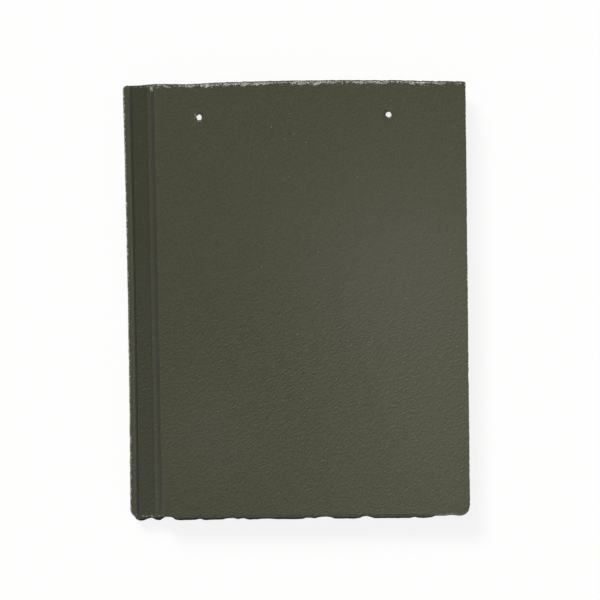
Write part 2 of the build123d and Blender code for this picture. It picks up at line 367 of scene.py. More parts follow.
groove = np.min(np.abs(UROW[..., None] - check_starts - CHECK_WIDTH / 2), axis=-1)
groove_z = np.clip((CHECK_WIDTH / 2 - groove) / CHECK_DRAFT, 0, 1) * CHECK_DEPTH
end_z = bearing_z * np.clip(np.maximum(bar_left_x - UX, UX - bar_right_x) / BAR_SLOPE, 0, FAR)
bar_z = np.maximum(groove_z, end_z)
bar_z = np.where((UROW > bars_end_y) | (UX > side_foot_x), FAR, bar_z)

nib_side = np.min(np.abs(UX[..., None] - nib_centres), axis=-1) - NIB_HALF
nib_back = UROW - hang_y - NIB_THICKNESS
nib_z = np.maximum(np.maximum(nib_side, nib_back) / NIB_DRAFT, (hang_y - UROW) / WALL_RUN) * body_z

UZ = np.minimum(np.minimum(section_z, bar_z), np.maximum(nib_z, 0))
UZ = UZ + (UZ > 0) * raggedness(UX, UROW, CAST_RAGGED)
tail_shift = (tail_inset(UX, UZ) + foot_inset(UX)) * smooth(1 - (UROW - tail_y) / UNDER_FADE)
head_shift = head_inset(UX) * smooth(1 - (head_y - UROW) / HEAD_FADE)
under = np.stack([UX, UROW + tail_shift - head_shift, UZ], axis=-1)
print(f"underside lies {under[..., 2].min():.1f} to {under[..., 2].max():.1f} mm above the feet")

# %% [markdown]
# ## Nail holes
#
# A grid has no round holes, but a square of cells can be bent into one. Points on the square that encloses
# a hole move in onto the circle, their neighbours move less, and past a short reach nothing moves. The
# cells inside the square are left out later, and a short tube joins the two rims. On the weather side
# each hole has a broken mouth.

# %% Bend the grid round the holes
CRATER_REACH, CRATER_SPREAD, CRATER_DEPTH = 1.5, 0.7, 0.7  # of the broken mouth, past the rim
RIM_CRUMBS = 0.22  # share of the radius that crumbs take away at most


def turn_noise(offset, spacing, seed):
    """Noise that depends only on the direction of an offset, read on a circle of radius 2."""
    way = 2 * offset / np.maximum(np.linalg.norm(offset, axis=-1, keepdims=True), 1e-9)
    return noise(way[..., 0], way[..., 1], spacing, seed)


def bend_to_hole(sheet, hole, seed):
    """Scale offsets from the hole by s / e, where s is the larger of |u| and |v| and e their distance.

    That turns squares into circles, and noise round the turn makes them ragged. The effect fades with s,
    from the rim to the reach.
    """
    offset = sheet[..., :2] - hole
    s = np.abs(offset).max(axis=-1)
    e = np.maximum(np.linalg.norm(offset, axis=-1), 1e-9)
    share = smooth((HOLE_REACH - s / hole_radius) / (HOLE_REACH - 1))
    ragged = 1 - RIM_CRUMBS * np.abs(turn_noise(offset, 0.7, seed))
    bent = sheet.copy()
    bent[..., :2] = hole + offset * (1 + share * (ragged * s / e - 1))[..., None]
    return bent


def crater(sheet, hole, seed):
    """Depth of the broken mouth: full at the rim and falling in a straight line to a ragged reach."""
    offset = sheet[..., :2] - hole
    distance = np.linalg.norm(offset, axis=-1) - hole_radius
    reach = CRATER_REACH * (1 + CRATER_SPREAD * turn_noise(offset, 0.8, seed))
    return np.clip(1 - distance / reach, 0, 1)


mouth = np.zeros(weather.shape[:2])
for seed, hole in enumerate(holes, start=61):
    weather, under = bend_to_hole(weather, hole, seed), bend_to_hole(under, hole, seed + 2)
    mouth = np.maximum(mouth, crater(weather, hole, seed))
weather[..., 2] -= CRATER_DEPTH * mouth
print(f"{np.count_nonzero(mouth > 0)} points lie in the holes' broken mouths")

# %% [markdown]
# ## The long edges
#
# The left edge is the torn outer side of the rib, and the right edge is the lip that laps over the next
# tile. Each is a straight strip of steps from the weather side down to the underside. Both sides are
# pulled in a little by noise, most at the edge itself, so that they look torn and never stand out of the
# box. The left edge also has a slight waist, and the channel's right side isn't quite in line with it.

# %% Edges and the ring
LEFT_TEAR, RIGHT_TEAR, TEAR_REACH = 0.7, 0.6, 1.6
SIDE_RAGGED = [(0.6, 2.2, 71), (0.4, 7.0, 72)]  # share, size and seed of the layers of tearing
WAIST = 1.3  # how much narrower the tile is halfway along its left edge
ARRIS_TURN = 0.0028  # the channel's right side is this much out of line with its left


def pull_in(points):
    """Move points in from the sides: torn depth times exp(-distance / reach), and the waist on the left.

    The channel's right side moves by its turn times y, fading out to the rib and over the face.
    """
    x, y, z = np.moveaxis(points, -1, 0)
    torn = raggedness(y, z, SIDE_RAGGED)
    waist = WAIST * np.clip(1 - (2 * y / (head_y - tail_y)) ** 2, 0, 1)
    shift = LEFT_TEAR * torn * np.exp((left - x) / TEAR_REACH)
    shift = shift + waist * smooth((arris_x - x) / (arris_x - left))
    shift = shift - RIGHT_TEAR * torn * np.exp((x - right) / TEAR_REACH)
    shift = shift - ARRIS_TURN * y * smooth((x - rib_foot_x) / 12) * smooth((arris_x + 40 - x) / 36)
    return np.stack([x + shift, y, z], axis=-1)


drop = (np.arange(1, EDGE_STEPS) / EDGE_STEPS)[:, None]
left_edge = weather[:, None, 0] * (1 - drop) + under[:, None, 0] * drop
right_edge = weather[:, None, -1] * (1 - drop) + under[:, None, -1] * drop
ring = np.concatenate([weather, right_edge, under[:, ::-1], left_edge[:, ::-1]], axis=1)
print(f"ring has {ring.shape[1]} points")

# %% [markdown]
# ## The cut ends
#
# Each end closes the tube with a sheet of its own: upright lines from the weather side's last row down to
# the underside's, with the roughness of a knife drawn through wet concrete in between.

# %% End sheets
KNIFE_DEPTH = 0.45
under_fine = np.empty((len(row_y), TOP_STEPS + 1, 3))
under_fine[:, ::2] = under
under_fine[:, 1::2] = (under[:, :-1] + under[:, 1:]) / 2


def end_sheet(row, inward, seed):
    """Inner points of an end: upright lines from the top row to the bottom row, pushed inward by noise.

    Columns go from the top's x to the foot's x, with t going from 0 at the face to 1 at the foot. At each
    x both rows are looked up, so that the lines stay upright. The push is 4t(1 - t) of the knife's depth.
    """
    t, top, foot = drop, weather[row].T, under[row].T
    x = top[0, 1:-1] * (1 - t) + under_fine[row, 1:-1, 0] * t
    y, z = (np.interp(x, top[0], top[k]) * (1 - t) + np.interp(x, foot[0], foot[k]) * t for k in (1, 2))
    rough = raggedness(x, z, [(1.0, 3.0, seed), (0.5, 1.4, seed + 1)])
    return np.stack([x, y + inward * KNIFE_DEPTH * 4 * t * (1 - t) * rough, z], axis=-1)


tail_sheet, head_sheet = end_sheet(0, 1, 81), end_sheet(-1, -1, 83)
print(f"each end adds {tail_sheet.shape[0] * tail_sheet.shape[1]} points")

# %% [markdown]
# ## Joining it up
#
# The parts are joined by numbering their points. Faces are rows of four point numbers, always listed
# anticlockwise as seen from outside, so that every face looks outwards. First comes the tube, with the
# cells inside the holes left out and a wall of its own in each hole.

# %% Tube and holes
rows, around = ring.shape[:2]
number = np.arange(rows * around).reshape(rows, around)
points = [pull_in(ring).reshape(-1, 3)]
faces, triangles = [], []


def quads(grid):
    """Four-cornered faces between the neighbours of a grid of point numbers."""
    return np.stack([grid[:-1, :-1], grid[:-1, 1:], grid[1:, 1:], grid[1:, :-1]], axis=-1)


def add_points(block):
    """Number the points of a block of new ones and keep them."""
    first = sum(len(part) for part in points)
    points.append(block.reshape(-1, 3))
    return first + np.arange(block[..., 0].size).reshape(block.shape[:-1])


tube = quads(np.concatenate([number, number[:, :1]], axis=1))
under_column = TOP_STEPS + EDGE_STEPS + UNDER_STEPS  # ring place of the underside's left end
hole_span = hole_lines[[0, -1]] - 1e-4  # just short of a hole's first and last line
kept = np.ones(tube.shape[:2], bool)
for hole in holes:
    j = np.searchsorted(row_y, hole[1] + hole_span)
    c = np.searchsorted(top_x, hole[0] + hole_span)
    u = under_column - np.searchsorted(under_x, hole[0] + hole_span)
    kept[j[0]:j[1], c[0]:c[1]] = kept[j[0]:j[1], u[1]:u[0]] = False
    loops = []
    for block in (number[j[0]:j[1] + 1, c[0]:c[1] + 1], number[j[0]:j[1] + 1, u[1]:u[0] + 1][:, ::-1]):
        loops.append(np.concatenate([block[0, :-1], block[:-1, -1], block[-1, :0:-1], block[:0:-1, 0]]))
    rims = [points[0][loop] for loop in loops]
    wall = rims[0] * (1 - drop[..., None]) + rims[1] * drop[..., None]
    wall_numbers = np.concatenate([loops[:1], add_points(wall), loops[1:]])
    faces.append(quads(np.concatenate([wall_numbers, wall_numbers[:, :1]], axis=1)).reshape(-1, 4))
faces.append(tube[kept])
print(f"tube and holes have {sum(len(f) for f in faces)} quads")

# %% [markdown]
# Where an end meets the coarser underside, two steps meet one, and three triangles fill each place.

# %% Ends
for row, sheet, outward in ((0, tail_sheet, -1), (-1, head_sheet, 1)):
    top = number[row, :TOP_STEPS + 1]
    foot = number[row, TOP_STEPS + EDGE_STEPS:under_column + 1][::-1]
    sides = number[row, :-EDGE_STEPS:-1], number[row, TOP_STEPS + 1:TOP_STEPS + EDGE_STEPS]
    middle = np.concatenate([sides[0][:, None], add_points(pull_in(sheet)), sides[1][:, None]], axis=1)
    grid = np.concatenate([top[None], middle])
    last = grid[-1]
    fan = np.concatenate([
        np.stack([last[:-1:2], last[1::2], foot[:-1]], axis=-1),
        np.stack([last[1::2], foot[1:], foot[:-1]], axis=-1),
        np.stack([last[1::2], last[2::2], foot[1:]], axis=-1),
    ])
    faces.append(quads(grid).reshape(-1, 4)[:, ::outward])
    triangles.append(fan[:, ::outward])
print(f"{sum(len(f) for f in faces)} quads and {sum(len(f) for f in triangles)} triangles")

# %% [markdown]
# ## Into Blender
#
# The cells inside the holes are gone, so their points are dropped and the rest are renumbered. A closed
# mesh uses every edge once in each direction, so the open edges are counted, and its volume is printed.

# %% The tile's mesh
quad_array, triangle_array = np.concatenate(faces), np.concatenate(triangles)
used, flat = np.unique(np.r_[quad_array.ravel(), triangle_array.ravel()], return_inverse=True)
place = np.concatenate(points)[used]
quad_array = flat[:quad_array.size].reshape(-1, 4)
triangle_array = flat[quad_array.size:].reshape(-1, 3)

mesh = bpy.data.meshes.new("roof_tile_surface")
mesh.from_pydata(place * MM, [], [*quad_array.tolist(), *triangle_array.tolist()])
mesh.update()
tile = bpy.data.objects.new("coated_roof_tile", mesh)
bpy.context.scene.collection.objects.link(tile)
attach(tile, "root")
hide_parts("roof_tile")

corner_sets = np.concatenate([quad_array[:, [0, 1, 2]], quad_array[:, [0, 2, 3]], triangle_array])
a, b, c = place[corner_sets].transpose(1, 0, 2)
volume = np.einsum("ij,ij->i", a, np.cross(b, c)).sum() / 6
ways = np.concatenate([corner_sets[:, [0, 1]], corner_sets[:, [1, 2]], corner_sets[:, [2, 0]]])
codes = ways[:, 0].astype(np.int64) * len(place) + ways[:, 1]
back_codes = ways[:, 1].astype(np.int64) * len(place) + ways[:, 0]
open_edges = np.setxor1d(codes, back_codes).size
print(f"{len(corner_sets)} triangles, {volume / 1000:.0f} cm3, {open_edges} open edges")

# %% [markdown]
# ## What each place is made of
#
# Coat, bare concrete and cast concrete are one piece of material with different skins. Four numbers on
# each point say which skin it has and where shade or light is painted, and the material reads them. The
# first is bare: how much of the coat has crumbled away. That is most on the broken arris of the head and
# on a few scars, and less on the worn long sides, the tail and the mouths of the holes.

# %% Bare places
RIM_WIDTH, RIM_FADE = 0.7, 0.4  # the coat that runs over the head's edge leaves a thin line of colour
# how bare the head's band, the channel's head, the tail, the long sides and the holes' mouths are
BAND_BARE, CHANNEL_BARE, TAIL_BARE, SIDE_BARE, MOUTH_BARE = 0.52, 0.42, 0.4, 0.47, 0.35
SPARED, SPARED_FROM_X, SPARED_RUN = 0.35, 135.0, 15.0  # near the right corner the band is less bare
SCATTER_BARE, SCATTER_REACH = 0.34, 14.0  # single crumbs lost beyond the band
HEAD_WORN, LEFT_WORN, RIGHT_WORN = 3.0, 2.3, 1.8  # how far the wear goes in from the edges
TAIL_WORN_AT, TAIL_WORN, WORN_CORNER_X = 1.0, 1.5, 128.0  # the tail is worn at its two corners
# x, y, half length, half width and turn of other places where the coat came off
SCARS = [
    (-136.2, 207.4, 2.8, 1.8, 80), (-120.5, 209.2, 4.5, 0.7, -20), (-128, 210.6, 2.6, 0.6, 0),
    (-93.9, 181.6, 0.9, 0.7, 0), (-95.0, 178.8, 0.7, 0.6, 0),
]


def scars(x, y):
    """The highest of the bells exp(-(a / length)^2 - (b / width)^2), on each scar's own axes a and b."""
    sx, sy, long, wide, turn = np.array(SCARS).T
    u, v, turn = x[..., None] - sx, y[..., None] - sy, np.radians(turn)
    a, b = u * np.cos(turn) + v * np.sin(turn), v * np.cos(turn) - u * np.sin(turn)
    return np.exp(-(a / long) ** 2 - (b / wide) ** 2).max(axis=-1)


past_rim = smooth((from_head - RIM_WIDTH) / RIM_FADE)
band = BAND_BARE * smooth(in_break * 6) * past_rim * smooth((X - BREAK_STARTS_X) / 10 + 0.5)
band = band * (1 - SPARED * smooth((X - SPARED_FROM_X) / SPARED_RUN))
scattered = SCATTER_BARE * smooth(1 - from_head / SCATTER_REACH) * past_rim * on_face
worn_head = CHANNEL_BARE * smooth(HEAD_WORN - from_head) * past_rim * (X < arris_x)
worn_tail = smooth(TAIL_WORN - np.abs(from_tail - TAIL_WORN_AT))
worn_tail = worn_tail * ((X < arris_x) + smooth((X - WORN_CORNER_X) / 6))
worn_sides = SIDE_BARE * (smooth(LEFT_WORN - (X - left)) + smooth(RIGHT_WORN - (right - X)))
bare_top = np.maximum.reduce([
    band, scattered, worn_head, TAIL_BARE * worn_tail, worn_sides, MOUTH_BARE * mouth,
    scars(weather[..., 0], weather[..., 1]),
])
print(f"bare on the weather side: mean {bare_top.mean():.3f}")

# %% [markdown]
# Thin says how much the grey concrete shows through the coat, and where that grey is painted light. Little
# of the coat settled on the steep wall of the channel. The edge of the rib and the tail's arris lie in
# shade and are painted lighter as painted light. The tail's arris is worn in the channel and at its right
# corner, the channel turns greyer and lighter towards the tail, and a broad lighter patch on the face is a
# painted pool of light.

# %% Thin coat and painted light
# how thin the coat is on the channel's wall and ledge, the rib's top and outer rim, and the arris
WALL_THIN, LEDGE_THIN, RIB_THIN, RIM_THIN, ARRIS_THIN = 0.4, 0.1, 0.03, 0.35, 0.06
RIM_REACH = 1.6
TAIL_LIT, WORN_THIN = 0.7, 0.5  # painted light on the tail's arris and end, which lie in shade, and thin coat where the tail is worn
FLOOR_PALING, FLOOR_FROM_Y, FLOOR_RUN = 0.075, 70.0, 210.0  # how much greyer and lighter the channel's coat gets towards the tail
LIT_PATCH, LIT_PATCH_AT, LIT_PATCH_REACH = 0.055, (-88.0, -132.0), 60.0  # painted light: a broad lighter patch on the lower left of the face, as a pool of light

in_channel = smooth((X - rib_foot_x + 0.4) / 1.2)
past_ledge = smooth((X - wall_foot_x + 4.4) / 0.6)
thin_wall = WALL_THIN * smooth(X - wall_foot_x + 0.6) * smooth((arris_x - 0.2 - X) / 0.6)
# painted light: the rib's inner wall faces away from the sun and is painted in the lighter grey to lift
# its shade
lit_rib_edge = smooth((X - rib_edge_x + 0.3) / 0.5) * smooth((rib_foot_x + 0.1 - X) / 0.5)
thin_rib = RIB_THIN * smooth((rib_edge_x - X) / 0.4)
thin_rim = RIM_THIN * smooth((left + RIM_REACH - X) / 0.8)
thin_and_lit_left = np.maximum.reduce([thin_wall, LEDGE_THIN * past_ledge, lit_rib_edge, thin_rib, thin_rim])
thin_and_lit_left = thin_and_lit_left + FLOOR_PALING * np.clip((FLOOR_FROM_Y - ROW) / FLOOR_RUN, 0, 1) * in_channel
# painted light: the face is painted lighter where more light would fall on its lower left
lit_patch = LIT_PATCH * np.exp(-((X - LIT_PATCH_AT[0]) ** 2 + (ROW - LIT_PATCH_AT[1]) ** 2) / LIT_PATCH_REACH ** 2)
thin_and_lit_top = np.maximum.reduce([
    np.where(X < arris_x, thin_and_lit_left, lit_patch), WORN_THIN * worn_tail,
    TAIL_LIT * smooth(1 - from_tail / TAIL_ROUND), ARRIS_THIN * smooth(1.2 - np.abs(X - arris_x - 0.2)),
])
print(f"thin on the weather side: mean {thin_and_lit_top.mean():.3f}")

# %% [markdown]
# Painted shade darkens the channel, which lies in shade, and the foot of the tail, which lies in the
# tile's shadow. Cast is concrete that the coat never reached. That is the underside, and part of the
# tail's end, which only caught some dry overspray.

# %% Painted shade and cast concrete
# how much shade is painted on the channel's floor, ledge and wall and on the tail's foot
CHANNEL_SHADE, LEDGE_SHADE, WALL_SHADE, FOOT_SHADE = 0.32, 0.25, 0.43, 0.75
TAIL_CAST = 0.38
FOOT_REACH = 1.5  # how far the tail's skin goes on round its foot, under the tile

on_wall = smooth((X - wall_foot_x + 0.2) / 0.6)
# painted shade in the channel's recess, most of it on the channel's wall
channel_shade = CHANNEL_SHADE + (LEDGE_SHADE - CHANNEL_SHADE) * past_ledge + (WALL_SHADE - LEDGE_SHADE) * on_wall
shade_top = channel_shade * in_channel * smooth((arris_x - X) / 0.6)
cast_top = TAIL_CAST * smooth(1.1 - from_tail / TAIL_ROUND)
at_foot = smooth(1 - (UROW - tail_y) / FOOT_REACH)
print(f"dark on the weather side: mean {shade_top.mean():.3f}")

# %% [markdown]
# Each number is known on the weather side and on the underside. The edges, the ends and the walls of the
# holes blend from one to the other.

# %% Skins on the points
HEAD_CAST, HOLE_CAST = 0.8, 0.5  # how cast the head's end and the holes' walls are at their feet
SHADE_POWER = 1.5  # above 1, the painted shade keeps to the foot


def skin_values(top, below, head_foot=0.0, hole_foot=0.0, power=1):
    """One value for each numbered point: those of the two sides, and blends on edges, holes and ends.

    A blend goes with t to the given power, where t is 0 at the face and 1 at the foot.
    """
    t = drop ** power
    edge_l = top[:, :1] * (1 - t.T) + below[:, :1] * t.T
    edge_r = top[:, -1:] * (1 - t.T) + below[:, -1:] * t.T
    ring_values = np.concatenate([top, edge_r, below[:, ::-1], edge_l[:, ::-1]], axis=1)
    walls = [np.tile(t * hole_foot, (1, 4 * HOLE_CELLS)) for _ in holes]
    feet = ((0, below[0, 0]), (-1, head_foot))
    ends = [top[row, None, 1:-1] * (1 - t) + foot * t for row, foot in feet]
    return np.concatenate([part.ravel() for part in (ring_values, *walls, *ends)])[used]


nowhere = np.zeros_like(at_foot)
skins = {
    "bare": skin_values(bare_top, nowhere),
    "thin_and_lit": skin_values(thin_and_lit_top, nowhere),
    # painted shade: in the channel, and at the tail's foot where the tile shades it
    "painted_shade": skin_values(shade_top, FOOT_SHADE * at_foot, power=SHADE_POWER),
    "cast": skin_values(cast_top, 1 - (1 - TAIL_CAST) * at_foot, HEAD_CAST, HOLE_CAST),
}
for name, values in skins.items():
    mesh.attributes.new(name, "FLOAT", "POINT").data.foreach_set("value", values.astype(np.float32))
    print(f"{name}: mean {values.mean():.3f}")

# %% [markdown]
# ## The finish
#
# The weather side carries a sprayed acrylic and cement coat: olive, satin, with a fine grain left by the
# spray and sand underneath, a few pale specks and dark pits. Broken concrete is light grey with sand in
# it, and the cast underside is plain mid grey. All patterns are sized in millimetres and fixed to the
# tile by its Object coordinates.

# %% Olive coated concrete
def linear(hex_colour):
    """An sRGB hex colour as linear red, green, blue and alpha."""
    srgb = np.array([int(hex_colour[i:i + 2], 16) for i in (1, 3, 5)]) / 255
    rgb = np.where(srgb <= 0.04045, srgb / 12.92, ((srgb + 0.055) / 1.055) ** 2.4)
    return (*rgb, 1.0)


def per_mm(size):
    """Texture scale that makes a feature this many millimetres wide."""
    return 1 / (size * MM)


def add(tree, kind, inputs=(), **settings):
    """Add one node: settings are its properties, inputs are values or the sockets that feed it."""
    made = tree.nodes.new(kind)
    for name, value in settings.items():
        setattr(made, name, value)
    for name, value in dict(inputs).items():
        if isinstance(value, bpy.types.NodeSocket):
            tree.links.new(value, made.inputs[name])
        else:
            made.inputs[name].default_value = value
    return made


finish = bpy.data.materials.new("olive_coated_concrete")
finish.use_nodes = True
tree = finish.node_tree
tree.nodes.clear()
coords = add(tree, "ShaderNodeTexCoord").outputs["Object"]
print("material", finish.name)

# %% [markdown]
# First come the patterns, which are noise of different sizes. Grain and mottle lie along the direction in
# which the coat was dragged, so their coordinates are turned and stretched before they reach the noise.

# %% Patterns
GRAIN_TURN, GRAIN_STRETCH = math.radians(40), 1.6

dragged = add(tree, "ShaderNodeMapping", {
    "Vector": coords, "Rotation": (0, 0, GRAIN_TURN), "Scale": (GRAIN_STRETCH, 1, 1),
}, vector_type="TEXTURE").outputs[0]
# coordinates, size and detail of each pattern; the first four are the coat's and the others the concrete's
settings = {
    "grain": (dragged, 1.75, 0.15), "mottle": (dragged, 9.0, 3.0), "fleck": (coords, 1.2, 1.0),
    "drift": (coords, 60.0, 1.0),
    "sand": (coords, 1.1, 3.0), "crumb": (coords, 1.5, 1.0), "cloud": (coords, 25.0, 4.0),
}
pattern = {}
for name, (vector, size, detail) in settings.items():
    pattern[name] = add(tree, "ShaderNodeTexNoise", {
        "Vector": vector, "Scale": per_mm(size), "Detail": detail}).outputs[0]
print("patterns:", ", ".join(pattern))

# %% [markdown]
# The coat's colour is mixed in layers. Drift and mottle shift the olive over the tile, flecks of sand are
# paler, and where the coat is thin the grey shows through. The same grey is painted on as painted light.

# %% Colours of the coat
OLIVE, OLIVE_DARK, OLIVE_PALE, THIN_AND_LIT_GREY = "#3A3B2B", "#363728", "#484939", "#73736D"

patch = add(tree, "ShaderNodeMapRange", {
    "Value": pattern["mottle"], "From Min": 0.35, "From Max": 0.75}).outputs[0]
crest = add(tree, "ShaderNodeMapRange", {
    "Value": pattern["fleck"], "From Min": 0.3, "From Max": 0.7}).outputs[0]
# thin coat, and painted light on shaded parts and on the lit patch
thin_and_lit = add(tree, "ShaderNodeAttribute", attribute_name="thin_and_lit").outputs["Fac"]
shade = linear(OLIVE_DARK)
for share, colour in ((pattern["drift"], OLIVE), (patch, OLIVE), (crest, OLIVE_PALE), (thin_and_lit, THIN_AND_LIT_GREY)):
    shade = add(tree, "ShaderNodeMix", {
        0: share, 6: shade, 7: linear(colour)}, data_type="RGBA").outputs[2]
print("coat colours", OLIVE_DARK, OLIVE, OLIVE_PALE)

# %% [markdown]
# Specks and pits are dots at random places. A Voronoi texture gives each cell a centre and a random
# colour: a dot shows where the distance to the centre is small and the random number is low, which leaves
# most cells empty. The specks lie closest together near the head, so their share falls with the distance
# from a place there.

# %% Specks and pits
SPECK, SPECK_SPACING, SPECK_SIZE = "#A3A399", 5.5, 0.3
PIT, PIT_SPACING, PIT_SIZE, PIT_SHARE = "#26271D", 7.0, 0.5, 0.08
SPECK_CENTRE, SPECK_REACH = (-0.008, 0.16, 0.031), 0.11  # in metres
SPECK_SHARES = (0.4, 0.03)  # the share of cells with a speck, at the centre and past the reach


def dots(spacing, size, share):
    """1 inside sparse dots: near a cell's centre, in the given share of the cells."""
    cells = add(tree, "ShaderNodeTexVoronoi", {"Vector": coords, "Scale": per_mm(spacing)})
    near = add(tree, "ShaderNodeMath", {
        0: cells.outputs["Distance"], 1: size / spacing}, operation="LESS_THAN").outputs[0]
    chance = add(tree, "ShaderNodeSeparateColor", {0: cells.outputs["Color"]}).outputs[0]
    chosen = add(tree, "ShaderNodeMath", {0: chance, 1: share}, operation="LESS_THAN").outputs[0]
    return add(tree, "ShaderNodeMath", {0: near, 1: chosen}, operation="MULTIPLY").outputs[0]


gathered = add(tree, "ShaderNodeVectorMath", {
    0: coords, 1: SPECK_CENTRE}, operation="DISTANCE").outputs["Value"]
speck_share = add(tree, "ShaderNodeMapRange", {
    "Value": gathered, "From Max": SPECK_REACH,
    "To Min": SPECK_SHARES[0], "To Max": SPECK_SHARES[1]}).outputs[0]
specks = dots(SPECK_SPACING, SPECK_SIZE, speck_share)
pits = dots(PIT_SPACING, PIT_SIZE, PIT_SHARE)
for share, colour in ((specks, SPECK), (pits, PIT)):
    shade = add(tree, "ShaderNodeMix", {
        0: share, 6: shade, 7: linear(colour)}, data_type="RGBA").outputs[2]
print(f"specks {SPECK_SIZE} mm, pits {PIT_SIZE} mm")

# %% [markdown]
# Bare and cast concrete show where their skin and a crumbly noise add up to enough, so their edges are
# ragged. Painted shade lies over the coat and the cast concrete, and fresh breaks are free of it.

# %% Concrete
BARE_PALE, BARE_DARK, CAST_PALE, CAST_DARK = "#C6C5C0", "#66655C", "#8E8B84", "#77746D"
# the colour of the painted shade in the channel and at the tail's foot
SHADE_COLOUR = "#1B1A15"
BARE_RANGE, CAST_RANGE = (0.92, 1.08), (0.9, 1.25)  # the sums at which concrete starts and takes over

bare, cast, painted_shade = (
    add(tree, "ShaderNodeAttribute", attribute_name=name).outputs["Fac"]
    for name in ("bare", "cast", "painted_shade"))
sandy = add(tree, "ShaderNodeMapRange", {
    "Value": pattern["sand"], "From Min": 0.35, "From Max": 0.65}).outputs[0]
bare_colour = add(tree, "ShaderNodeMix", {
    0: sandy, 6: linear(BARE_DARK), 7: linear(BARE_PALE)}, data_type="RGBA").outputs[2]
cast_colour = add(tree, "ShaderNodeMix", {
    0: pattern["cloud"], 6: linear(CAST_DARK), 7: linear(CAST_PALE)}, data_type="RGBA").outputs[2]
here = []
for skin, (low, high) in ((bare, BARE_RANGE), (cast, CAST_RANGE)):
    total = add(tree, "ShaderNodeMath", {0: skin, 1: pattern["crumb"]}, operation="ADD").outputs[0]
    here.append(add(tree, "ShaderNodeMapRange", {
        "Value": total, "From Min": low, "From Max": high}).outputs[0])
bare_here, cast_here = here
for share, colour in ((cast_here, cast_colour), (painted_shade, linear(SHADE_COLOUR)), (bare_here, bare_colour)):
    shade = add(tree, "ShaderNodeMix", {0: share, 6: shade, 7: colour}, data_type="RGBA").outputs[2]
print("concrete skins: bare and cast")

# %% [markdown]
# The grain is a bump. It is strongest a little above the tail, where the coat was dragged most, and
# weaker at the tail itself, towards the head and on the left. Concrete adds the bump of its sand.

# %% Grain
GRAIN_HEIGHT, SAND_HEIGHT = 0.95, 0.9
GRAIN_AT_HEAD, GRAIN_AT_TAIL, GRAIN_AT_LEFT = 0.52, 0.9, 0.8  # shares of the full height
# from where to where it changes, in metres along y, y and x
HEAD_RAMP, TAIL_RAMP, LEFT_RAMP = (-0.065, 0.085), (-0.2, -0.09), (-0.12, 0.03)

axes = add(tree, "ShaderNodeSeparateXYZ", {0: coords}).outputs
to_head = add(tree, "ShaderNodeMapRange", {
    "Value": axes["Y"], "From Min": HEAD_RAMP[0], "From Max": HEAD_RAMP[1],
    "To Min": 1.0, "To Max": GRAIN_AT_HEAD}, interpolation_type="SMOOTHSTEP").outputs[0]
to_tail = add(tree, "ShaderNodeMapRange", {
    "Value": axes["Y"], "From Min": TAIL_RAMP[0], "From Max": TAIL_RAMP[1],
    "To Min": GRAIN_AT_TAIL, "To Max": 1.0}).outputs[0]
to_left = add(tree, "ShaderNodeMapRange", {
    "Value": axes["X"], "From Min": LEFT_RAMP[0], "From Max": LEFT_RAMP[1],
    "To Min": GRAIN_AT_LEFT, "To Max": 1.0}).outputs[0]
strength = add(tree, "ShaderNodeMath", {0: to_head, 1: to_tail}, operation="MINIMUM").outputs[0]
strength = add(tree, "ShaderNodeMath", {0: strength, 1: to_left}, operation="MULTIPLY").outputs[0]
rough = add(tree, "ShaderNodeMath", {0: bare_here, 1: cast_here}, operation="MAXIMUM").outputs[0]
bump = add(tree, "ShaderNodeBump", {
    "Strength": strength, "Distance": GRAIN_HEIGHT * MM, "Height": pattern["grain"]}).outputs[0]
bump = add(tree, "ShaderNodeBump", {
    "Strength": rough, "Distance": SAND_HEIGHT * MM, "Height": pattern["sand"], "Normal": bump}).outputs[0]
print(f"grain {GRAIN_HEIGHT} mm, sand {SAND_HEIGHT} mm")

# %% [markdown]
# Coat is satin and concrete is matt. A thin sealer lies smooth over the coat's grain, and dry overspray
# has neither its gloss nor the sealer's. An acrylic film and cement both have an index of about 1.5.

# %% Surface and output
COAT_ROUGHNESS, CONCRETE_ROUGHNESS, COAT_IOR = 0.34, 0.9, 1.5
COAT_SPECULAR = 0.08  # a dusty, porous film mirrors less than clean acrylic
SEALER, SEALER_ROUGHNESS = 0.36, 0.27
OVERSPRAY = 0.2  # where the skin is cast by this much, the coat is only dry spray
SHARP_ANGLE = math.radians(50)

roughness = add(tree, "ShaderNodeMapRange", {
    "Value": rough, "To Min": COAT_ROUGHNESS, "To Max": CONCRETE_ROUGHNESS}).outputs[0]
overspray = add(tree, "ShaderNodeMapRange", {"Value": cast, "From Max": OVERSPRAY}).outputs[0]
specular = add(tree, "ShaderNodeMapRange", {
    "Value": overspray, "To Min": COAT_SPECULAR, "To Max": 0.0}).outputs[0]
matt = add(tree, "ShaderNodeMath", {0: rough, 1: overspray}, operation="MAXIMUM").outputs[0]
sealer = add(tree, "ShaderNodeMapRange", {"Value": matt, "To Min": SEALER, "To Max": 0.0}).outputs[0]
shader = add(tree, "ShaderNodeBsdfPrincipled", {
    "Base Color": shade, "Roughness": roughness, "IOR": COAT_IOR, "Specular IOR Level": specular,
    "Coat Weight": sealer, "Coat Roughness": SEALER_ROUGHNESS, "Coat IOR": COAT_IOR,
    "Normal": bump}).outputs[0]
add(tree, "ShaderNodeOutputMaterial", {"Surface": shader})
mesh.materials.append(finish)
mesh.shade_smooth()
mesh.set_sharp_from_angle(angle=SHARP_ANGLE)
print(f"{len(tree.nodes)} nodes in the finish")

# %% [markdown]
# ## Studio
#
# The tile lies on a pale floor and the camera looks down on its face. The floor shows mostly as plain
# white to the camera and keeps a soft share of the tile's shadow. Seen from below it is clear, so that
# the underside can be looked at.

# %% Floor
FLOOR_SIZE = 6.0
SHADOW_SHARE = 0.15
CARD, WHITE = "#F4F4F2", "#FFFFFF"

